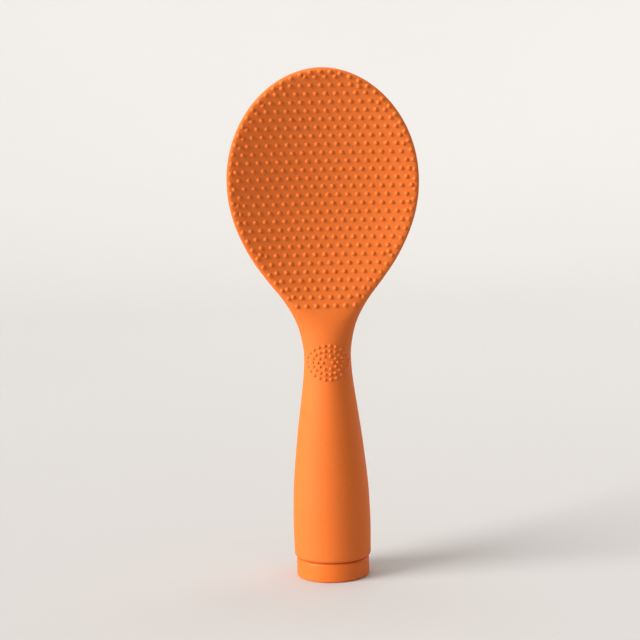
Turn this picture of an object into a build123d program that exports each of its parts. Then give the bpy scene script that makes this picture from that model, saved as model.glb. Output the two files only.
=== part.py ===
from build123d import *

import os
from math import acos, atan2, cos, hypot, pi, radians, sin, sqrt, tan, tanh

# Self-standing rice paddle: a silicone jacket with raised dots, moulded over a stiff nylon
# core that reaches from the blade down to the foot of the hollow handle. A steel weight
# stands in the handle, and a plug with a sealing ring closes it and is the foot.
# Millimetres, +Z up, origin in the middle of the underside of the foot, blade facing -Y.

# Outside of the jacket, seen from the front
overall_height = 212.0
blade_width = 77.2
blade_widest_height = 166.0
neck_height = 93.0
neck_width = 19.4
handle_width = 32.3

# Blade seen from the side and from above
blade_thickness = 4.4
blade_rim_depth = 1.5
blade_root_height = 143.0
hollow_height = 122.0
hollow_depth = 2.9
tip_reach = 18.6
tip_lean_angle = 21.0
dish_radius = 130.0
dish_full_height = 126.0

# Ridge that carries the neck into the back of the blade
ridge_height = 2.4
ridge_width = 17.0
ridge_top_height = 152.0
ridge_peak_height = 120.0

# Silicone over the core
handle_skin = 2.0
blade_skin = 1.1
blade_margin = 2.6
jacket_end_gap = 0.3
jacket_end_radius = 1.3

# Bore of the handle and the holes that lock the silicone to the core
bore_radius = 9.7
bore_straight_height = 49.0
bore_end_height = 76.0
bore_end_radius = 4.5
lock_hole_radius = 2.5
lock_hole_pitch = 17.0
lock_hole_columns = 3
lock_hole_rows = 3
lock_hole_first_height = 139.0

# Foot plug
cap_width = 30.4
cap_height = 8.1
cap_top_round = 1.2
cap_foot_round = 0.9
cap_floor = 3.0
cap_wall = 2.7
spigot_height = 7.0
spigot_clearance = 0.1
spigot_chamfer = 0.6

# Sealing ring, as it is squeezed in its groove
ring_thickness = 1.6
ring_squeeze = 0.2
ring_clearance = 0.05

# Weight
weight_clearance = 0.2
weight_top_height = 47.0
weight_chamfer = 0.8

# Raised dots on both sides of the blade
nodule_pitch = 3.95
nodule_row_pitch = 3.54
nodule_diameter = 1.9
nodule_proud = 0.75
first_row_height = 114.8
back_row_height = 142.0
border_inset = 1.65
border_flank_inset = 2.35
border_flank_height = 134.0
border_flank_pitch = 4.16
border_clearance = 2.1
border_push_limit = 1.9
border_push_step = 0.1

# Raised dots of the thumb pad
pad_height = 91.6
pad_half_width = 8.3
pad_half_height = 7.0
pad_ring_step = 2.1
pad_ring_counts = (22, 18, 10, 2)
pad_dot_diameter = 1.45
pad_dot_proud = 0.6

# How the outline swells between its named places: (share of the height, share of the swell)
handle_shares = (
    (0.0, 0.972), (0.15, 1.0), (0.27, 0.965), (0.35, 0.92), (0.475, 0.768),
    (0.6, 0.588), (0.72, 0.383), (0.82, 0.204), (0.9, 0.072), (1.0, 0.0),
)
shoulder_shares = (
    (0.0, 0.0), (0.09, 0.024), (0.2, 0.097), (0.32, 0.255), (0.44, 0.474),
    (0.55, 0.661), (0.67, 0.817), (0.78, 0.92), (0.89, 0.981), (1.0, 1.0),
)
thinning_shares = ((0.0, 1.0), (0.24, 0.72), (0.44, 0.37), (0.64, 0.11), (0.84, 0.01), (1.0, 0.0))
lean_shares = ((0.0, 0.0), (0.2, 0.033), (0.422, 0.185), (0.644, 0.44), (0.867, 0.77), (1.0, 1.0))
tip_roundness = 1.92

# Fineness of the sections that the moulded forms pass through
rim_start = 2.9
round_rim_share = 0.293
front_point_count = 7
back_point_count = 11
rim_point_count = 9
lower_section_count = 16
tip_section_angle = 9.0
tip_last_angle = 88.5
bulge_rounds = 60
border_steps = 900
slope_step_share = 0.0005

jacket_foot_height = cap_height + jacket_end_gap
spigot_top_height = cap_height + spigot_height
spigot_radius = bore_radius - spigot_clearance
cup_radius = spigot_radius - cap_wall
ring_height = cap_height + spigot_height / 2
ring_radius = (ring_thickness - ring_squeeze) / 2
ring_middle_radius = bore_radius - ring_clearance - ring_radius
groove_radius = ring_middle_radius - ring_radius - ring_clearance
groove_foot_height = ring_height - ring_thickness / 2
groove_top_height = ring_height + ring_thickness / 2


def along(stations, place, end_slope=0.0):
    """Value at a place on a smooth curve through (place, value) stations, level at its start."""
    places = [station[0] for station in stations]
    values = [station[1] for station in stations]
    if place <= places[0]:
        return values[0]
    if place >= places[-1]:
        return values[-1]
    chords = [(b[1] - a[1]) / (b[0] - a[0]) for a, b in zip(stations, stations[1:])]
    slopes = [0.0]
    for before, after in zip(chords, chords[1:]):
        slopes.append((before + after) / 2 if before * after > 0 else 0.0)
    slopes.append(end_slope)
    i = max(k for k in range(len(places) - 1) if places[k] <= place)
    span = places[i + 1] - places[i]
    t = (place - places[i]) / span
    return (
        values[i] * (1 - t) ** 2 * (1 + 2 * t)
        + values[i + 1] * t ** 2 * (3 - 2 * t)
        + span * t * (1 - t) * (slopes[i] * (1 - t) - slopes[i + 1] * t)
    )


def share_between(low, high, z):
    """Share of the way from one height to another, kept between 0 and 1."""
    return min(1.0, max(0.0, (z - low) / (high - low)))


def eased(share):
    """A share with a level start and end."""
    return share ** 2 * (3 - 2 * share)


def side_line(z, inset=0.0):
    """Half width at a height, with only the round end of the blade drawn in by the inset."""
    if z <= neck_height:
        share = share_between(jacket_foot_height, neck_height, z)
        return (neck_width + (handle_width - neck_width) * along(handle_shares, share)) / 2
    if z <= blade_widest_height:
        share = share_between(neck_height, blade_widest_height, z)
        return (neck_width + (blade_width - neck_width) * along(shoulder_shares, share)) / 2
    share = share_between(blade_widest_height, overall_height - inset, z)
    return (blade_width / 2 - inset) * (1 - share ** 2) ** (1 / tip_roundness)


def side_slope(z, inset=0.0):
    """Sideways slope of the outline at a height."""
    step = overall_height * slope_step_share
    above = min(z + step, overall_height - inset)
    return (side_line(above, inset) - side_line(z - step, inset)) / (above - z + step)


def half_width(z, inset=0.0):
    """Half width of the paddle at a height, drawn in square to its outline by an inset."""
    if z > blade_widest_height:
        return side_line(z, inset)
    return side_line(z) - inset * hypot(1, side_slope(z))


def front_line(z):
    """Y of the front in the middle of the paddle."""
    if z <= neck_height:
        return -side_line(z)
    hollow = hollow_depth * eased(share_between(neck_height, hollow_height, z))
    rise = overall_height - hollow_height
    end_slope = tan(radians(tip_lean_angle)) * rise / tip_reach
    share = share_between(hollow_height, overall_height, z)
    return hollow - tip_reach * along(lean_shares, share, end_slope) - neck_width / 2


def thickness(z):
    """Thickness from front to back, without the ridge."""
    if z <= neck_height:
        return side_line(z) * 2
    share = share_between(neck_height, blade_root_height, z)
    return blade_thickness + (neck_width - blade_thickness) * along(thinning_shares, share)


def ridge(x, z):
    """How far the ridge stands out of the back."""
    rise = eased(share_between(neck_height, ridge_peak_height, z))
    fall = eased(share_between(ridge_peak_height, ridge_top_height, z))
    spread = max(0.0, 1 - (2 * x / ridge_width) ** 2) ** 2
    return ridge_height * rise * (1 - fall) * spread


def dish(z):
    """Curvature of the dished blade across its width."""
    return eased(share_between(neck_height, dish_full_height, z)) / dish_radius


class Slice:
    """Outline of a moulded form at one height: round below, a dished slab above."""

    def __init__(self, z, side_inset=0.0, face_inset=0.0):
        self.z = z
        self.half = half_width(z, side_inset)
        self.depth = thickness(z) / 2 - face_inset
        self.middle = front_line(z) + thickness(z) / 2
        rim = blade_rim_depth * self.depth / (blade_thickness / 2)
        top = overall_height - side_inset
        if z > top - rim:
            self.depth *= sqrt(1 - (1 - (top - z) / rim) ** 2)
        flatness = eased(share_between(neck_height, dish_full_height, z))
        rim_across = rim * hypot(1, side_slope(z, side_inset))
        self.fullness = 1 + flatness * (max(1.0, sqrt(self.half / rim_across)) - 1)
        self.bulge = self.fullness
        for _ in range(bulge_rounds):
            self.bulge = self.fullness * tanh(self.bulge)
        round_rim = self.half * round_rim_share
        self.rim = round_rim + flatness * (min(round_rim, rim_start) - round_rim)

    def spread(self, rise):
        """Share of the depth at the sine of a turn: a circle's, or squarer in the blade."""
        return tanh(self.bulge * rise) / tanh(self.bulge)

    def point(self, turn):
        """Point of the outline at a turn in radians, counted from +X towards +Y."""
        x = self.half * cos(turn)
        y = self.middle + self.depth * self.spread(sin(turn)) - dish(self.z) * x ** 2 / 2
        if sin(turn) > 0:
            y += ridge(x, self.z)
        return Vector(x, y, self.z)

    def edge(self, first, last, count):
        """Edge of the outline between two turns."""
        step = (last - first) / (count - 1)
        points = [self.point(first + step * i) for i in range(count)]
        nudge = step * slope_step_share
        tangents = [
            (self.point(turn + nudge) - self.point(turn - nudge)).normalized()
            for turn in (first, last)
        ]
        places = [i / (count - 1) for i in range(count)]
        return Edge.make_spline(points, tangents=tangents, parameters=places)

    def wire(self):
        """Rim, back, rim and front, as four edges."""
        corner = acos(1 - self.rim / self.half)
        return Wire([
            self.edge(-corner, corner, rim_point_count),
            self.edge(corner, pi - corner, back_point_count),
            self.edge(pi - corner, pi + corner, rim_point_count),
            self.edge(pi + corner, 2 * pi - corner, front_point_count),
        ])


def surface_point(x, z, side):
    """Point of the jacket's front (side -1) or back (side 1), seen square from the front."""
    piece = Slice(z)
    rise = sqrt(max(0.0, 1 - (x / piece.half) ** 2))
    turn = side * atan2(rise, x / piece.half)
    return piece.point(turn)


def slice_heights(foot, inset):
    """Heights of the slices, closing up towards the tip."""
    lower_step = (blade_widest_height - foot) / lower_section_count
    heights = [foot + lower_step * i for i in range(lower_section_count)]
    reach = overall_height - inset - blade_widest_height
    angle = 0.0
    while angle < tip_last_angle - tip_section_angle / 4:
        heights.append(blade_widest_height + reach * sin(radians(angle)))
        angle += tip_section_angle
    heights.append(blade_widest_height + reach * sin(radians(tip_last_angle)))
    return heights


def dome_radius(diameter, proud):
    """Radius of the ball whose cap has this diameter and height."""
    return ((diameter / 2) ** 2 + proud ** 2) / (2 * proud)


def dome(x, z, side, diameter, proud):
    """Ball that stands out of the jacket at a place, square to the surface."""
    radius = dome_radius(diameter, proud)
    here = surface_point(x, z, side)
    across = surface_point(x + proud, z, side) - surface_point(x - proud, z, side)
    up = surface_point(x, z + proud, side) - surface_point(x, z - proud, side)
    outward = across.cross(up).normalized() * -side
    centre = here - outward * (radius - proud)
    return Solid.make_sphere(radius, Plane(origin=centre, x_dir=(1, 0, 0), z_dir=(0, side, 0)))


def row_heights():
    """Heights of the dot rows, evenly spaced along the leaning face of the blade."""
    step = overall_height * slope_step_share
    heights = []
    z = first_row_height
    while z < overall_height - border_inset - nodule_row_pitch / 2:
        heights.append(z)
        slope = (front_line(z + step) - front_line(z - step)) / (2 * step)
        z += nodule_row_pitch / hypot(1, slope)
    return heights


def border_inset_at(z):
    """How far the border dots stand in from the edge: further down the tapering flanks."""
    taper = 1 - eased(share_between(border_flank_height, blade_widest_height, z))
    return border_inset + (border_flank_inset - border_inset) * taper


def border_path():
    """The line of the border dots, in small steps from the tip to the lowest row."""
    reach = overall_height - border_inset - blade_widest_height
    drop = blade_widest_height - first_row_height
    shares = [i / border_steps for i in range(1, border_steps + 1)]
    heights = [overall_height - border_inset]
    heights += [blade_widest_height + reach * cos(pi / 2 * share) for share in shares]
    heights += [blade_widest_height - drop * share for share in shares]
    return [(half_width(z, border_inset_at(z)), z) for z in heights]


def border_places(heights):
    """Places of the border dots, from the tip down each side to the second row."""
    path = border_path()
    places = [path[0]]
    travelled = 0.0
    for before, after in zip(path, path[1:]):
        pitch = nodule_pitch if after[1] > blade_widest_height else border_flank_pitch
        travelled += hypot(after[0] - before[0], after[1] - before[1])
        if travelled >= pitch and after[1] > (heights[0] + heights[1]) / 2:
            travelled -= pitch
            places += [(after[0], after[1]), (-after[0], after[1])]
    return places


def eased_place(x, z, border):
    """A grid place drawn in from the edge until it clears the border's dots, or nothing."""
    room = half_width(z, border_inset) - abs(x)
    slope = side_slope(z)
    if room / hypot(1, slope) < nodule_diameter / 4:
        return None
    inward = (-1 if x > 0 else 1) / hypot(1, slope)
    sink = slope / hypot(1, slope)
    pushed = 0.0
    while min(hypot(x - spot[0], z - spot[1]) for spot in border) < border_clearance:
        pushed += border_push_step
        if pushed > border_push_limit:
            return None
        x += inward * border_push_step
        z += sink * border_push_step
    return (x, z)


def grid_places(heights, border):
    """Places of the staggered rows."""
    places = []
    for row, z in enumerate(heights):
        shift = nodule_pitch / 2 * (row % 2)
        count = int(half_width(z, border_inset) / nodule_pitch) + 1
        for column in range(-count, count + 1):
            place = eased_place(column * nodule_pitch + shift, z, border)
            if place:
                places.append(place)
    return places


def pad_places():
    """Places of the thumb pad's dots, ring inside ring."""
    places = []
    for ring, count in enumerate(pad_ring_counts):
        for i in range(count):
            turn = pi / 2 + 2 * pi * (i + 0.5) / count
            x = (pad_half_width - ring * pad_ring_step) * cos(turn)
            z = pad_height + (pad_half_height - ring * pad_ring_step) * sin(turn)
            places.append((x, z))
    return places


def turned(points):
    """Solid turned about Z from (radius, height) corners."""
    outline = Polyline(*[(x, z) for x, z in points], close=True)
    return revolve(Plane.XZ * make_face(outline), Axis.Z)


def blade_dots(side, lowest):
    """Dots of one side of the blade, down to a lowest height."""
    heights = row_heights()
    border = border_places(heights)
    places = border + grid_places(heights, border)
    return [
        dome(x, z, side, nodule_diameter, nodule_proud) for x, z in places if z >= lowest
    ]


def make_body():
    """Outer form of the jacket, solid, with its raised dots."""
    plain = Solid.make_loft([Slice(z).wire() for z in slice_heights(jacket_foot_height, 0.0)])
    lowest_edges = plain.edges().filter_by(Plane.XY).group_by(Axis.Z)[0]
    rounded = plain.fillet(jacket_end_radius, lowest_edges)
    pad_dots = [dome(x, z, -1, pad_dot_diameter, pad_dot_proud) for x, z in pad_places()]
    dotted = rounded.fuse(*blade_dots(-1, neck_height), *pad_dots)
    return dotted.fuse(*blade_dots(1, back_row_height))


def core_slice(z):
    """Slice of the core: the jacket's, less the silicone round it."""
    share = eased(share_between(neck_height, hollow_height, z))
    side = handle_skin + (blade_margin - handle_skin) * share
    face = handle_skin + (blade_skin - handle_skin) * share
    return Slice(z, side, face).wire()


def make_core_form():
    """Outer form of the core's blade plate, neck and handle, with its locking holes."""
    form = Solid.make_loft([core_slice(z) for z in slice_heights(cap_height, blade_margin)])
    holes = []
    for row in range(lock_hole_rows):
        for column in range(lock_hole_columns):
            x = lock_hole_pitch * (column - (lock_hole_columns - 1) / 2)
            z = lock_hole_first_height + lock_hole_pitch * row
            middle = Plane(origin=(x, 0, z), z_dir=(0, 1, 0))
            holes.append(middle * Cylinder(lock_hole_radius, blade_width))
    return form.cut(*holes)


def make_bore():
    """Bore of the handle, open at the foot and tapering into the neck."""
    return turned([
        (0, 0), (bore_radius, 0), (bore_radius, bore_straight_height),
        (bore_end_radius, bore_end_height), (0, bore_end_height),
    ])


def make_cap():
    """Foot plug: a flange that stands on the table and a cupped spigot with a ring groove."""
    flange = Cylinder(cap_width / 2, cap_height, align=(Align.CENTER, Align.CENTER, Align.MIN))
    foot_edge = flange.edges().filter_by(GeomType.CIRCLE).sort_by(Axis.Z)[0]
    flange = fillet(foot_edge, cap_foot_round)
    top_edge = flange.edges().filter_by(GeomType.CIRCLE).sort_by(Axis.Z)[-1]
    flange = fillet(top_edge, cap_top_round)
    spigot = turned([
        (0, cap_floor), (spigot_radius, cap_floor), (spigot_radius, groove_foot_height),
        (groove_radius, groove_foot_height), (groove_radius, groove_top_height),
        (spigot_radius, groove_top_height), (spigot_radius, spigot_top_height - spigot_chamfer),
        (spigot_radius - spigot_chamfer, spigot_top_height), (0, spigot_top_height),
    ])
    cup = turned([
        (0, cap_floor), (cup_radius, cap_floor),
        (cup_radius, spigot_top_height), (0, spigot_top_height),
    ])
    return flange + spigot - cup


def make_ring():
    """Sealing ring between the spigot and the bore."""
    return Plane(origin=(0, 0, ring_height)) * Torus(ring_middle_radius, ring_radius)


def make_weight():
    """Stepped weight: its stem stands in the plug's cup, its body fills the bore."""
    stem = cup_radius - weight_clearance
    body = bore_radius - weight_clearance
    shoulder = spigot_top_height + weight_clearance
    return turned([
        (0, cap_floor), (stem - weight_chamfer, cap_floor), (stem, cap_floor + weight_chamfer),
        (stem, shoulder), (body - weight_chamfer, shoulder), (body, shoulder + weight_chamfer),
        (body, weight_top_height - weight_chamfer), (body - weight_chamfer, weight_top_height),
        (0, weight_top_height),
    ])


def main():
    core_form = make_core_form()
    parts = {
        "silicone_jacket": make_body().cut(core_form),
        "handle_core": core_form.cut(make_bore()),
        "foot_cap": make_cap(),
        "seal_ring": make_ring(),
        "handle_weight": make_weight(),
    }
    os.makedirs("parts", exist_ok=True)
    for name, shape in parts.items():
        export_step(shape, f"parts/{name}.step")


main()
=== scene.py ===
from math import atan2, cos, hypot, pi, radians, sin, sqrt, tan, tanh

import bpy
from mathutils import Matrix, Vector


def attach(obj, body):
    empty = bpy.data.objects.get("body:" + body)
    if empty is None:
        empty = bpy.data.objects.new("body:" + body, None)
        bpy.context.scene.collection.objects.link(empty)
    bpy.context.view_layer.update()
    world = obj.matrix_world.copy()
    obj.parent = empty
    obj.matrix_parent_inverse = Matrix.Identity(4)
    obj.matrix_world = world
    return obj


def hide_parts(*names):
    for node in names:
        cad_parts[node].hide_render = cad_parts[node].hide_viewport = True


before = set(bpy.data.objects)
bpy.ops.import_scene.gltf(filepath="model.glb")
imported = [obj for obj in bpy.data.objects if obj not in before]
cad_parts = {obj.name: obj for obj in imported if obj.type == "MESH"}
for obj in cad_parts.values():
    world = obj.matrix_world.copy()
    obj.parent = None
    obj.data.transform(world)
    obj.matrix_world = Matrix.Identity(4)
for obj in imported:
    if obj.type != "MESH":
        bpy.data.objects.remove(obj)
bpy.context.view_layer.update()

# Sizes in metres, angles in degrees, colours in linear light. The paddle stands as in the
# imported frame: +Z up, blade facing -Y.

# Camera: where it stands in front of the paddle, how it is held, and its lens and sensor in
# millimetres
camera_place = (-0.00267, -0.8, 0.2295)
camera_pitch = 8.64
camera_roll = 1.61
camera_lens = 110.25
camera_sensor_width = 36.0

# Table and the sweep behind it
table_half_width = 2.2
table_front = -1.6
table_back = 1.5
sweep_height = 2.4
sweep_round = 0.7
sweep_segments = 24

# Window light: how far it comes round from the front to the left, how high it stands, how
# wide the window looks from the paddle, and its strength in watts to a square metre
window_turn = 67.0
window_rise = 22.0
window_spread = 38.0
window_strength = 4.95
window_colour = (1.0, 0.985, 0.96)

# Fill lamps: name, place, what it points at, size across, size up, watts, colour
fill_lamps = (
    ("overhead", (0.0, -0.05, 1.5), (0.0, 0.0, 0.1), 1.3, 1.3, 12.0, (1.0, 0.97, 0.93)),
    ("soft_back_right", (1.1, 0.8, 0.6), (0.0, 0.0, 0.11), 1.0, 1.0, 2.5, (1.0, 0.93, 0.85)),
)

# Room light, and the pale background that only the camera and reflections see
room_light = (0.92, 0.84, 0.76)
room_strength = 0.26
backdrop_white = (0.93, 0.92, 0.90)
backdrop_glow = 0.12
backdrop_glow_colour = (1.0, 0.99, 0.98)

# Finishes. Shades are mixed by noise, scales are patches to a metre, depths are those of bumps,
# and each roughness goes from the glossiest patch to the dullest. Most of a noise lies between
# the floor and the ceiling.
noise_floor = 0.3
noise_ceiling = 0.7

# Orange of the jacket and of the foot cap
orange_shades = ((0.71, 0.146, 0.014), (0.75, 0.157, 0.017))
orange_fleck = (0.84, 0.21, 0.05)

# Silicone of the jacket
silicone_blotch_scale = 26.0
silicone_fleck_scale = 2600.0
silicone_fleck_start = 0.66
silicone_fleck_end = 0.78
silicone_patch_scale = 140.0
silicone_roughness = (0.62, 0.72)
silicone_grain_scale = 3800.0
silicone_grain_depth = 0.000025
silicone_swell_scale = 60.0
silicone_swell_depth = 0.00005
silicone_specular = 0.33
silicone_sheen = 0.02
silicone_sheen_roughness = 0.45
silicone_sheen_tint = (1.0, 0.72, 0.5)

# Nylon of the foot cap
cap_blotch_scale = 40.0
cap_patch_scale = 220.0
cap_roughness = (0.45, 0.57)
cap_grain_scale = 2400.0
cap_grain_depth = 0.00002
cap_specular = 0.25

# Nylon of the core
core_shades = ((0.60, 0.57, 0.50), (0.68, 0.65, 0.58))
core_cloud_scale = 70.0
core_patch_scale = 300.0
core_roughness = (0.4, 0.55)
core_grain_scale = 1500.0
core_grain_depth = 0.00002

# Steel of the weight
steel_shades = ((0.42, 0.41, 0.40), (0.55, 0.54, 0.52))
steel_ring_scale = 900.0
steel_ring_wander = 1.2
steel_ring_depth = 0.00002
steel_stain_scale = 90.0
steel_roughness = (0.3, 0.42)

# Rubber of the sealing ring
rubber_shades = ((0.012, 0.012, 0.012), (0.03, 0.03, 0.03))
rubber_bloom_scale = 400.0
rubber_patch_scale = 900.0
rubber_roughness = (0.45, 0.65)
rubber_grain_scale = 5000.0
rubber_grain_depth = 0.00001

# Paint of the table
paint_shades = ((0.535, 0.53, 0.525), (0.555, 0.55, 0.545))
paint_cloud_scale = 1.5
paint_roughness = 0.7
paint_specular = 0.2

# Outside of the jacket and its skin over the core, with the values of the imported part
overall_height = 0.212
blade_width = 0.0772
blade_widest_height = 0.166
neck_height = 0.093
neck_width = 0.0194
handle_width = 0.0323
jacket_foot_height = 0.0084
jacket_end_radius = 0.0013
blade_thickness = 0.0044
blade_rim_depth = 0.0015
blade_root_height = 0.143
hollow_height = 0.122
hollow_depth = 0.0029
tip_reach = 0.0186
tip_lean_angle = 21.0
dish_radius = 0.13
dish_full_height = 0.126
ridge_height = 0.0024
ridge_width = 0.017
ridge_top_height = 0.152
ridge_peak_height = 0.12
handle_skin = 0.002
blade_skin = 0.0011
blade_margin = 0.0026

# Raised dots of the blade and of the thumb pad
nodule_pitch = 0.00395
nodule_row_pitch = 0.00354
nodule_diameter = 0.0019
nodule_proud = 0.00075
first_row_height = 0.1148
back_row_height = 0.142
border_inset = 0.00165
border_flank_inset = 0.00235
border_flank_height = 0.134
border_flank_pitch = 0.00416
border_clearance = 0.0021
border_push_limit = 0.0019
border_push_step = 0.0001
pad_height = 0.0916
pad_half_width = 0.0083
pad_half_height = 0.007
pad_ring_step = 0.0021
pad_ring_counts = (22, 18, 10, 2)
pad_dot_diameter = 0.00145
pad_dot_proud = 0.0006

# Rings of a dot, from its top to its soft foot: (share of the radius, share of the height)
dot_rings = ((0.36, 0.93), (0.67, 0.7), (0.88, 0.38), (1.0, 0.08), (1.2, -0.06))
dot_sides = 12

# How the outline swells between its named places: (share of the height, share of the swell)
handle_shares = (
    (0.0, 0.972), (0.15, 1.0), (0.27, 0.965), (0.35, 0.92), (0.475, 0.768),
    (0.6, 0.588), (0.72, 0.383), (0.82, 0.204), (0.9, 0.072), (1.0, 0.0),
)
shoulder_shares = (
    (0.0, 0.0), (0.09, 0.024), (0.2, 0.097), (0.32, 0.255), (0.44, 0.474),
    (0.55, 0.661), (0.67, 0.817), (0.78, 0.92), (0.89, 0.981), (1.0, 1.0),
)
thinning_shares = ((0.0, 1.0), (0.24, 0.72), (0.44, 0.37), (0.64, 0.11), (0.84, 0.01), (1.0, 0.0))
lean_shares = ((0.0, 0.0), (0.2, 0.033), (0.422, 0.185), (0.644, 0.44), (0.867, 0.77), (1.0, 1.0))
tip_roundness = 1.92

# Fineness of the jacket's mesh
ring_points = 128
lower_ring_count = 60
inner_ring_count = 30
end_ring_count = 6
tip_ring_angle = 2.5
inner_tip_ring_angle = 7.5
tip_last_angle = 89.3
bulge_rounds = 60
border_steps = 900
slope_step = 0.0001
merge_distance = 0.000001


def along(stations, place, end_slope=0.0):
    """Value at a place on a smooth curve through (place, value) stations, level at its start."""
    places = [station[0] for station in stations]
    values = [station[1] for station in stations]
    if place <= places[0]:
        return values[0]
    if place >= places[-1]:
        return values[-1]
    chords = [(b[1] - a[1]) / (b[0] - a[0]) for a, b in zip(stations, stations[1:])]
    slopes = [0.0]
    for before, after in zip(chords, chords[1:]):
        slopes.append((before + after) / 2 if before * after > 0 else 0.0)
    slopes.append(end_slope)
    i = max(k for k in range(len(places) - 1) if places[k] <= place)
    span = places[i + 1] - places[i]
    t = (place - places[i]) / span
    return (
        values[i] * (1 - t) ** 2 * (1 + 2 * t)
        + values[i + 1] * t ** 2 * (3 - 2 * t)
        + span * t * (1 - t) * (slopes[i] * (1 - t) - slopes[i + 1] * t)
    )


def share_between(low, high, z):
    """Share of the way from one height to another, kept between 0 and 1."""
    return min(1.0, max(0.0, (z - low) / (high - low)))


def eased(share):
    """A share with a level start and end."""
    return share ** 2 * (3 - 2 * share)


def side_line(z, inset=0.0):
    """Half width at a height, with only the round end of the blade drawn in by the inset."""
    if z <= neck_height:
        share = share_between(jacket_foot_height, neck_height, z)
        return (neck_width + (handle_width - neck_width) * along(handle_shares, share)) / 2
    if z <= blade_widest_height:
        share = share_between(neck_height, blade_widest_height, z)
        return (neck_width + (blade_width - neck_width) * along(shoulder_shares, share)) / 2
    share = share_between(blade_widest_height, overall_height - inset, z)
    return (blade_width / 2 - inset) * (1 - share ** 2) ** (1 / tip_roundness)


def side_slope(z, inset=0.0):
    """Sideways slope of the outline at a height."""
    above = min(z + slope_step, overall_height - inset)
    return (side_line(above, inset) - side_line(z - slope_step, inset)) / (above - z + slope_step)


def half_width(z, inset=0.0):
    """Half width of the paddle at a height, drawn in square to its outline by an inset."""
    if z > blade_widest_height:
        return side_line(z, inset)
    return side_line(z) - inset * hypot(1, side_slope(z))


def front_line(z):
    """Y of the front in the middle of the paddle."""
    if z <= neck_height:
        return -side_line(z)
    hollow = hollow_depth * eased(share_between(neck_height, hollow_height, z))
    rise = overall_height - hollow_height
    end_slope = tan(radians(tip_lean_angle)) * rise / tip_reach
    share = share_between(hollow_height, overall_height, z)
    return hollow - tip_reach * along(lean_shares, share, end_slope) - neck_width / 2


def thickness(z):
    """Thickness from front to back, without the ridge."""
    if z <= neck_height:
        return side_line(z) * 2
    share = share_between(neck_height, blade_root_height, z)
    return blade_thickness + (neck_width - blade_thickness) * along(thinning_shares, share)


def ridge(x, z):
    """How far the ridge stands out of the back."""
    rise = eased(share_between(neck_height, ridge_peak_height, z))
    fall = eased(share_between(ridge_peak_height, ridge_top_height, z))
    spread = max(0.0, 1 - (2 * x / ridge_width) ** 2) ** 2
    return ridge_height * rise * (1 - fall) * spread


class Slice:
    """Outline of the jacket, or of the cavity in it, at one height."""

    def __init__(self, z, side_inset=0.0, face_inset=0.0):
        self.z = z
        self.half = half_width(z, side_inset)
        self.depth = thickness(z) / 2 - face_inset
        self.middle = front_line(z) + thickness(z) / 2
        rim = blade_rim_depth * self.depth / (blade_thickness / 2)
        top = overall_height - side_inset
        if z > top - rim:
            self.depth *= sqrt(max(0.0, 1 - (1 - (top - z) / rim) ** 2))
        flatness = eased(share_between(neck_height, dish_full_height, z))
        self.dish = flatness / dish_radius
        rim_across = rim * hypot(1, side_slope(z, side_inset))
        fullness = 1 + flatness * (max(1.0, sqrt(self.half / rim_across)) - 1)
        self.bulge = fullness
        for _ in range(bulge_rounds):
            self.bulge = fullness * tanh(self.bulge)

    def point(self, turn):
        """Point of the outline at a turn in radians, counted from +X towards +Y."""
        x = self.half * cos(turn)
        spread = tanh(self.bulge * sin(turn)) / tanh(self.bulge)
        y = self.middle + self.depth * spread - self.dish * x ** 2 / 2
        if sin(turn) > 0:
            y += ridge(x, self.z)
        return Vector((x, y, self.z))


def surface_point(x, z, side):
    """Point of the jacket's front (side -1) or back (side 1), seen square from the front."""
    piece = Slice(z)
    share = max(-1.0, min(1.0, x / piece.half))
    return piece.point(side * atan2(sqrt(1 - share ** 2), share))


def row_heights():
    """Heights of the dot rows, evenly spaced along the leaning face of the blade."""
    heights = []
    z = first_row_height
    while z < overall_height - border_inset - nodule_row_pitch / 2:
        heights.append(z)
        slope = (front_line(z + slope_step) - front_line(z - slope_step)) / (2 * slope_step)
        z += nodule_row_pitch / hypot(1, slope)
    return heights


def border_inset_at(z):
    """How far the border dots stand in from the edge: further down the tapering flanks."""
    taper = 1 - eased(share_between(border_flank_height, blade_widest_height, z))
    return border_inset + (border_flank_inset - border_inset) * taper


def border_path():
    """The line of the border dots, in small steps from the tip to the lowest row."""
    reach = overall_height - border_inset - blade_widest_height
    drop = blade_widest_height - first_row_height
    shares = [i / border_steps for i in range(1, border_steps + 1)]
    heights = [overall_height - border_inset]
    heights += [blade_widest_height + reach * cos(pi / 2 * share) for share in shares]
    heights += [blade_widest_height - drop * share for share in shares]
    return [(half_width(z, border_inset_at(z)), z) for z in heights]


def border_places(heights):
    """Places of the border dots, from the tip down each side to the second lowest row."""
    path = border_path()
    places = [path[0]]
    travelled = 0.0
    for before, after in zip(path, path[1:]):
        pitch = nodule_pitch if after[1] > blade_widest_height else border_flank_pitch
        travelled += hypot(after[0] - before[0], after[1] - before[1])
        if travelled >= pitch and after[1] > (heights[0] + heights[1]) / 2:
            travelled -= pitch
            places += [(after[0], after[1]), (-after[0], after[1])]
    return places


def eased_place(x, z, border):
    """A grid place drawn in from the edge until it clears the border's dots, or nothing."""
    room = half_width(z, border_inset) - abs(x)
    slope = side_slope(z)
    if room / hypot(1, slope) < nodule_diameter / 4:
        return None
    inward = (-1 if x > 0 else 1) / hypot(1, slope)
    sink = slope / hypot(1, slope)
    pushed = 0.0
    while min(hypot(x - spot[0], z - spot[1]) for spot in border) < border_clearance:
        pushed += border_push_step
        if pushed > border_push_limit:
            return None
        x += inward * border_push_step
        z += sink * border_push_step
    return (x, z)


def grid_places(heights, border):
    """Places of the staggered rows."""
    places = []
    for row, z in enumerate(heights):
        shift = nodule_pitch / 2 * (row % 2)
        count = int(half_width(z, border_inset) / nodule_pitch) + 1
        for column in range(-count, count + 1):
            place = eased_place(column * nodule_pitch + shift, z, border)
            if place:
                places.append(place)
    return places


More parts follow.
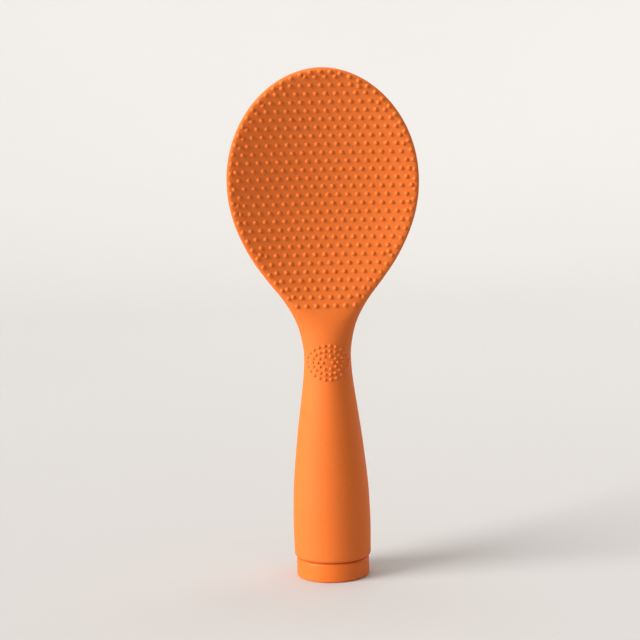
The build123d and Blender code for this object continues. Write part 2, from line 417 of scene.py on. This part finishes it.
def pad_places():
    """Places of the thumb pad's dots, ring inside ring."""
    places = []
    for ring, count in enumerate(pad_ring_counts):
        for i in range(count):
            turn = pi / 2 + 2 * pi * (i + 0.5) / count
            x = (pad_half_width - ring * pad_ring_step) * cos(turn)
            z = pad_height + (pad_half_height - ring * pad_ring_step) * sin(turn)
            places.append((x, z))
    return places


def tip_heights(inset, step_angle):
    """Heights from the widest place to the tip, closing up."""
    reach = overall_height - inset - blade_widest_height
    count = int(tip_last_angle / step_angle)
    angles = [step_angle * i for i in range(count + 1)] + [tip_last_angle]
    return [blade_widest_height + reach * sin(radians(angle)) for angle in angles]


def outer_rings():
    """Slices of the outside with how far each is drawn in, from the foot to the tip."""
    rings = []
    for i in range(end_ring_count):
        angle = pi / 2 * i / end_ring_count
        z = jacket_foot_height + jacket_end_radius * (1 - sin(angle))
        rings.append((Slice(z), jacket_end_radius * (1 - cos(angle))))
    rings.reverse()
    rings = [(Slice(jacket_foot_height), jacket_end_radius)] + rings
    low = jacket_foot_height + jacket_end_radius
    step = (blade_widest_height - low) / lower_ring_count
    rings += [(Slice(low + step * i), 0.0) for i in range(1, lower_ring_count)]
    return rings + [(Slice(z), 0.0) for z in tip_heights(0.0, tip_ring_angle)]


def inner_slice(z):
    """Slice of the cavity that the core fills."""
    share = eased(share_between(neck_height, hollow_height, z))
    side = handle_skin + (blade_margin - handle_skin) * share
    face = handle_skin + (blade_skin - handle_skin) * share
    return Slice(z, side, face)


def inner_rings():
    """Slices of the cavity, from its tip to the foot."""
    step = (blade_widest_height - jacket_foot_height) / inner_ring_count
    heights = [jacket_foot_height + step * i for i in range(inner_ring_count)]
    heights += tip_heights(blade_margin, inner_tip_ring_angle)
    return [(inner_slice(z), 0.0) for z in reversed(heights)]


def deselect_all():
    """Nothing is selected before the next piece is made."""
    bpy.ops.object.select_all(action="DESELECT")


class Finish:
    """A node material with helpers for the few nodes that each finish is mixed from."""

    def __init__(self, name):
        self.material = bpy.data.materials.new(name)
        self.material.use_nodes = True
        self.tree = self.material.node_tree
        self.shader = self.tree.nodes["Principled BSDF"]
        self.place = self.add("ShaderNodeTexCoord").outputs["Object"]

    def add(self, kind, **settings):
        """A new node of a kind, with its settings."""
        node = self.tree.nodes.new(kind)
        for key, value in settings.items():
            setattr(node, key, value)
        return node

    def link(self, source, target):
        """A link from an output to an input."""
        self.tree.links.new(source, target)

    def plug(self, source, socket):
        """A link from an output to a socket of the shader."""
        self.link(source, self.shader.inputs[socket])

    def hold(self, socket, value):
        """A constant on a socket of the shader."""
        self.shader.inputs[socket].default_value = value

    def noise(self, scale, detail=2.0, roughness=0.5):
        """Noise over the piece, with this many patches to a metre."""
        node = self.add("ShaderNodeTexNoise")
        node.inputs["Scale"].default_value = scale
        node.inputs["Detail"].default_value = detail
        node.inputs["Roughness"].default_value = roughness
        self.link(self.place, node.inputs["Vector"])
        return node.outputs["Fac"]

    def spread(self, source, low=0.0, high=1.0, start=noise_floor, end=noise_ceiling):
        """A value that goes from low to high as the source goes from start to end."""
        node = self.add("ShaderNodeMapRange")
        node.inputs["From Min"].default_value = start
        node.inputs["From Max"].default_value = end
        node.inputs["To Min"].default_value = low
        node.inputs["To Max"].default_value = high
        self.link(source, node.inputs["Value"])
        return node.outputs["Result"]

    def blend(self, share, first, second):
        """Colour between two colours, each a tuple or another node's output."""
        node = self.add("ShaderNodeMix", data_type="RGBA")
        self.link(share, node.inputs["Factor"])
        for socket, colour in (("A", first), ("B", second)):
            target = [i for i in node.inputs if i.name == socket and i.type == "RGBA"][0]
            if isinstance(colour, tuple):
                target.default_value = colour + (1.0,)
            else:
                self.link(colour, target)
        return [o for o in node.outputs if o.type == "RGBA"][0]

    def bump(self, height, depth, below=None):
        """Bump of this depth in metres, on top of another bump."""
        node = self.add("ShaderNodeBump")
        node.inputs["Strength"].default_value = 1.0
        node.inputs["Distance"].default_value = depth
        self.link(height, node.inputs["Height"])
        if below is not None:
            self.link(below, node.inputs["Normal"])
        return node.outputs["Normal"]


def orange_silicone():
    """Matte moulded silicone: soft, faintly blotched, with a fine blasted grain."""
    finish = Finish("orange_silicone")
    blotches = finish.spread(finish.noise(silicone_blotch_scale, detail=3.0))
    flecks = finish.spread(
        finish.noise(silicone_fleck_scale, detail=1.0),
        start=silicone_fleck_start, end=silicone_fleck_end,
    )
    base = finish.blend(blotches, *orange_shades)
    finish.plug(finish.blend(flecks, base, orange_fleck), "Base Color")
    patches = finish.noise(silicone_patch_scale, detail=4.0, roughness=0.6)
    finish.plug(finish.spread(patches, *silicone_roughness), "Roughness")
    grain = finish.bump(finish.noise(silicone_grain_scale), silicone_grain_depth)
    swell = finish.bump(finish.noise(silicone_swell_scale), silicone_swell_depth, grain)
    finish.plug(swell, "Normal")
    finish.hold("Specular IOR Level", silicone_specular)
    finish.hold("Sheen Weight", silicone_sheen)
    finish.hold("Sheen Roughness", silicone_sheen_roughness)
    finish.hold("Sheen Tint", silicone_sheen_tint + (1.0,))
    return finish.material


def orange_nylon():
    """Moulded nylon of the foot: the same orange, harder and a little glossier."""
    finish = Finish("orange_nylon")
    blotches = finish.spread(finish.noise(cap_blotch_scale))
    finish.plug(finish.blend(blotches, *orange_shades), "Base Color")
    patches = finish.noise(cap_patch_scale, detail=3.0)
    finish.plug(finish.spread(patches, *cap_roughness), "Roughness")
    finish.plug(finish.bump(finish.noise(cap_grain_scale), cap_grain_depth), "Normal")
    finish.hold("Specular IOR Level", cap_specular)
    return finish.material


def natural_nylon():
    """Undyed nylon of the core, faintly clouded."""
    finish = Finish("natural_nylon")
    clouds = finish.spread(finish.noise(core_cloud_scale, detail=4.0))
    finish.plug(finish.blend(clouds, *core_shades), "Base Color")
    patches = finish.noise(core_patch_scale, detail=3.0)
    finish.plug(finish.spread(patches, *core_roughness), "Roughness")
    finish.plug(finish.bump(finish.noise(core_grain_scale), core_grain_depth), "Normal")
    return finish.material


def turned_steel():
    """Lathe-turned steel: fine rings round the weight and a few stains."""
    finish = Finish("turned_steel")
    rings = finish.add("ShaderNodeTexWave", wave_type="BANDS", bands_direction="Z")
    rings.inputs["Scale"].default_value = steel_ring_scale
    rings.inputs["Distortion"].default_value = steel_ring_wander
    rings.inputs["Detail"].default_value = 2.0
    finish.link(finish.place, rings.inputs["Vector"])
    stains = finish.spread(finish.noise(steel_stain_scale, detail=5.0))
    finish.plug(finish.blend(stains, *steel_shades), "Base Color")
    finish.plug(finish.spread(stains, *steel_roughness, start=0.0, end=1.0), "Roughness")
    finish.plug(finish.bump(rings.outputs["Fac"], steel_ring_depth), "Normal")
    finish.hold("Metallic", 1.0)
    return finish.material


def black_rubber():
    """Moulded rubber of the sealing ring, with a dusty bloom."""
    finish = Finish("black_rubber")
    bloom = finish.spread(finish.noise(rubber_bloom_scale, detail=4.0))
    finish.plug(finish.blend(bloom, *rubber_shades), "Base Color")
    patches = finish.noise(rubber_patch_scale)
    finish.plug(finish.spread(patches, *rubber_roughness), "Roughness")
    grain = finish.noise(rubber_grain_scale, detail=1.0)
    finish.plug(finish.bump(grain, rubber_grain_depth), "Normal")
    return finish.material


def pale_paint():
    """Pale table paint that, to the camera and in reflections, glows faintly towards the back."""
    finish = Finish("pale_paint")
    clouds = finish.spread(finish.noise(paint_cloud_scale))
    finish.plug(finish.blend(clouds, *paint_shades), "Base Color")
    finish.hold("Roughness", paint_roughness)
    finish.hold("Specular IOR Level", paint_specular)
    path = finish.add("ShaderNodeLightPath")
    seen = finish.add("ShaderNodeMath", operation="ADD", use_clamp=True)
    finish.link(path.outputs["Is Camera Ray"], seen.inputs[0])
    finish.link(path.outputs["Is Glossy Ray"], seen.inputs[1])
    parts = finish.add("ShaderNodeSeparateXYZ")
    finish.link(finish.place, parts.inputs["Vector"])
    rise = finish.spread(parts.outputs["Y"], high=backdrop_glow, start=0.0, end=table_back)
    glow = finish.add("ShaderNodeMath", operation="MULTIPLY")
    finish.link(seen.outputs["Value"], glow.inputs[0])
    finish.link(rise, glow.inputs[1])
    finish.hold("Emission Color", backdrop_glow_colour + (1.0,))
    finish.plug(glow.outputs["Value"], "Emission Strength")
    return finish.material


def dress(node, material):
    """A CAD node keeps its shape and gets a finish."""
    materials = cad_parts[node].data.materials
    for place in range(len(materials)):
        materials[place] = material
    if not materials:
        materials.append(material)


def ring_point(ring, turn):
    """Point of a slice, drawn in towards its middle."""
    piece, drawn_in = ring
    point = piece.point(turn)
    if drawn_in:
        middle = Vector((0.0, piece.middle, piece.z))
        point -= (point - middle).normalized() * drawn_in
    return point


def make_skin():
    """The jacket's inside and outside: a tube extruded ring by ring, each drawn to its slice."""
    rings = inner_rings() + outer_rings()
    deselect_all()
    bpy.ops.mesh.primitive_circle_add(vertices=ring_points, radius=1.0)
    skin = bpy.context.object
    skin.name = "silicone_skin"
    bpy.ops.object.mode_set(mode="EDIT")
    for _ in rings[1:]:
        bpy.ops.mesh.extrude_region_move(TRANSFORM_OT_translate={"value": (0.0, 0.0, 1.0)})
    bpy.ops.object.mode_set(mode="OBJECT")
    for vertex in skin.data.vertices:
        ring = round(vertex.co.z)
        if ring in (0, len(rings) - 1):
            vertex.co = Vector((0.0, rings[ring][0].middle, rings[ring][0].z))
        else:
            vertex.co = ring_point(rings[ring], atan2(vertex.co.y, vertex.co.x))
    bpy.ops.object.mode_set(mode="EDIT")
    bpy.ops.mesh.select_all(action="SELECT")
    bpy.ops.mesh.remove_doubles(threshold=merge_distance)
    bpy.ops.mesh.normals_make_consistent(inside=False)
    bpy.ops.object.mode_set(mode="OBJECT")
    return skin


def make_dot(diameter, proud):
    """One raised dot at the origin, standing up, with a soft foot that sinks into the skin."""
    deselect_all()
    bpy.ops.mesh.primitive_circle_add(
        vertices=dot_sides, radius=diameter / 2 * dot_rings[-1][0], fill_type="NOTHING"
    )
    dot = bpy.context.object
    bpy.ops.object.mode_set(mode="EDIT")
    bpy.ops.transform.translate(value=(0.0, 0.0, proud * dot_rings[-1][1]))
    for below, above in zip(dot_rings[::-1], dot_rings[-2::-1]):
        bpy.ops.mesh.extrude_region_move(
            TRANSFORM_OT_translate={"value": (0.0, 0.0, proud * (above[1] - below[1]))}
        )
        size = above[0] / below[0]
        bpy.ops.transform.resize(value=(size, size, 1.0))
    bpy.ops.mesh.extrude_region_move(
        TRANSFORM_OT_translate={"value": (0.0, 0.0, proud * (1 - dot_rings[0][1]))}
    )
    bpy.ops.mesh.merge(type="CENTER")
    bpy.ops.mesh.select_all(action="SELECT")
    bpy.ops.mesh.normals_make_consistent(inside=False)
    bpy.ops.object.mode_set(mode="OBJECT")
    return dot


def set_dot(pattern, x, z, side):
    """A copy of a dot on the skin, every point of it square to the skin under it."""
    dot = pattern.copy()
    dot.data = pattern.data.copy()
    bpy.context.scene.collection.objects.link(dot)
    across = surface_point(x + slope_step, z, side) - surface_point(x - slope_step, z, side)
    up = surface_point(x, z + slope_step, side) - surface_point(x, z - slope_step, side)
    outward = across.cross(up).normalized() * -side
    across_stretch = across.length / (2 * slope_step)
    up_stretch = up.length / (2 * slope_step)
    for vertex in dot.data.vertices:
        u, v, height = vertex.co
        under = surface_point(x + u / across_stretch, z + v / up_stretch, side)
        vertex.co = under + outward * height
    if side > 0:
        dot.data.flip_normals()
    return dot


def make_jacket():
    """The silicone jacket: the skin with its raised dots, joined into one piece."""
    skin = make_skin()
    blade_dot = make_dot(nodule_diameter, nodule_proud)
    pad_dot = make_dot(pad_dot_diameter, pad_dot_proud)
    heights = row_heights()
    border = border_places(heights)
    dots = []
    for x, z in border + grid_places(heights, border):
        dots.append(set_dot(blade_dot, x, z, -1))
        if z >= back_row_height:
            dots.append(set_dot(blade_dot, x, z, 1))
    dots += [set_dot(pad_dot, x, z, -1) for x, z in pad_places()]
    bpy.data.objects.remove(blade_dot)
    bpy.data.objects.remove(pad_dot)
    deselect_all()
    for dot in dots:
        dot.select_set(True)
    skin.select_set(True)
    bpy.context.view_layer.objects.active = skin
    bpy.ops.object.join()
    bpy.ops.object.shade_smooth()
    skin.data.materials.append(orange_silicone())
    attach(skin, "root")
    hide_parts("silicone_jacket")


def make_table():
    """Pale table with a sweep that rises behind the paddle."""
    deselect_all()
    middle = (table_front + table_back) / 2
    bpy.ops.mesh.primitive_plane_add(size=1.0, location=(0.0, middle, 0.0))
    table = bpy.context.object
    table.name = "pale_table"
    table.scale = (table_half_width * 2, table_back - table_front, 1.0)
    bpy.ops.object.transform_apply(location=True, rotation=False, scale=True)
    bpy.ops.object.mode_set(mode="EDIT")
    bpy.ops.mesh.select_mode(type="EDGE")
    bpy.ops.mesh.select_all(action="DESELECT")
    bpy.ops.object.mode_set(mode="OBJECT")
    for edge in table.data.edges:
        ends = [table.data.vertices[v].co.y for v in edge.vertices]
        edge.select = min(ends) > middle
    bpy.ops.object.mode_set(mode="EDIT")
    bpy.ops.mesh.extrude_region_move(TRANSFORM_OT_translate={"value": (0.0, 0.0, sweep_height)})
    bpy.ops.object.mode_set(mode="OBJECT")
    bend = table.modifiers.new("sweep", "BEVEL")
    bend.width = sweep_round
    bend.segments = sweep_segments
    bend.limit_method = "ANGLE"
    bpy.ops.object.modifier_apply(modifier="sweep")
    bpy.ops.object.shade_smooth()
    table.data.materials.append(pale_paint())


def new_lamp(name, kind, strength, colour):
    """A lamp of a kind, linked to the scene."""
    light = bpy.data.lights.new(name, kind)
    light.energy = strength
    light.color = colour
    lamp = bpy.data.objects.new(name, light)
    bpy.context.scene.collection.objects.link(lamp)
    return lamp


def make_window():
    """Broad light from the left front, as from a window too far off to fade across the table."""
    window = new_lamp("window_left", "SUN", window_strength, window_colour)
    window.data.angle = radians(window_spread)
    window.rotation_euler = (radians(90 - window_rise), 0.0, radians(-window_turn))


def make_lamps():
    """The soft rectangular fill lamps."""
    for name, place, aim, across, up, watts, colour in fill_lamps:
        lamp = new_lamp(name, "AREA", watts, colour)
        lamp.data.shape = "RECTANGLE"
        lamp.data.size = across
        lamp.data.size_y = up
        lamp.location = place
        aim_line = Vector(aim) - Vector(place)
        lamp.rotation_euler = aim_line.to_track_quat("-Z", "Y").to_euler()


def make_room():
    """Even pale room light, with a pale background where the view passes the table."""
    world = bpy.data.worlds.new("pale_room")
    bpy.context.scene.world = world
    world.use_nodes = True
    tree = world.node_tree
    room = tree.nodes["Background"]
    room.inputs["Color"].default_value = room_light + (1.0,)
    room.inputs["Strength"].default_value = room_strength
    backdrop = tree.nodes.new("ShaderNodeBackground")
    backdrop.inputs["Color"].default_value = backdrop_white + (1.0,)
    path = tree.nodes.new("ShaderNodeLightPath")
    seen = path.outputs["Is Camera Ray"]
    for kind in ("Is Transmission Ray", "Is Glossy Ray"):
        either = tree.nodes.new("ShaderNodeMath")
        either.operation = "ADD"
        either.use_clamp = True
        tree.links.new(seen, either.inputs[0])
        tree.links.new(path.outputs[kind], either.inputs[1])
        seen = either.outputs["Value"]
    choice = tree.nodes.new("ShaderNodeMixShader")
    tree.links.new(seen, choice.inputs["Fac"])
    tree.links.new(room.outputs["Background"], choice.inputs[1])
    tree.links.new(backdrop.outputs["Background"], choice.inputs[2])
    tree.links.new(choice.outputs["Shader"], tree.nodes["World Output"].inputs["Surface"])


def make_camera():
    """Camera at the photograph's height and angle."""
    camera = bpy.data.objects.new("camera", bpy.data.cameras.new("camera"))
    bpy.context.scene.collection.objects.link(camera)
    camera.data.lens = camera_lens
    camera.data.sensor_width = camera_sensor_width
    camera.matrix_world = (
        Matrix.Translation(camera_place)
        @ Matrix.Rotation(radians(90 - camera_pitch), 4, "X")
        @ Matrix.Rotation(radians(-camera_roll), 4, "Z")
    )
    bpy.context.scene.camera = camera


make_camera()
make_jacket()
dress("foot_cap", orange_nylon())
dress("handle_core", natural_nylon())
dress("handle_weight", turned_steel())
dress("seal_ring", black_rubber())
make_table()
make_window()
make_lamps()
make_room()
bpy.context.scene.view_settings.view_transform = "Standard"
